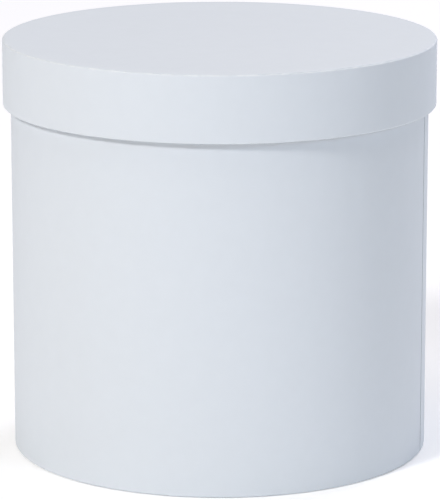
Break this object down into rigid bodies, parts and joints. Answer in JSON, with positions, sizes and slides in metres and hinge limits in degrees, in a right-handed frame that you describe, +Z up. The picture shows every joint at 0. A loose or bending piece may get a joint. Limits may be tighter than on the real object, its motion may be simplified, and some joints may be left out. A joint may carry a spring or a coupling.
{
  "type": "round hat box",
  "caption": "Round rigid-board hat box covered in plain white paper, with a shallow lid that lifts off and overlaps the body.",
  "frame": {"origin": "centre of the base, on the plane that the box stands on", "axes": "+Z up the box's axis, through the lid; the front faces -Y; the board's butt joints are at +Y"},
  "size_m": [0.2074, 0.2074, 0.1995],
  "materials": {
    "cover_paper": "matte",
    "lining_paper": "matte",
    "greyboard": "matte",
    "gummed_tape": "matte"
  },
  "bodies": {
    "box": {"body_wall_board": "greyboard", "body_seam_tape": "gummed_tape", "base_board": "greyboard", "body_wrap": "cover_paper", "base_cover": "cover_paper", "body_lining": "lining_paper", "base_lining": "lining_paper"},
    "lid": {"lid_rim_board": "greyboard", "lid_seam_tape": "gummed_tape", "lid_top_board": "greyboard", "lid_rim_wrap": "cover_paper", "lid_top_cover": "cover_paper", "lid_rim_lining": "lining_paper", "lid_top_lining": "lining_paper"}
  },
  "joints": [
    {"name": "lid_lift", "type": "slide", "parent": "box", "child": "lid", "axis": [0, 0, 1], "range_m": [0, 0.2]}
  ]
}
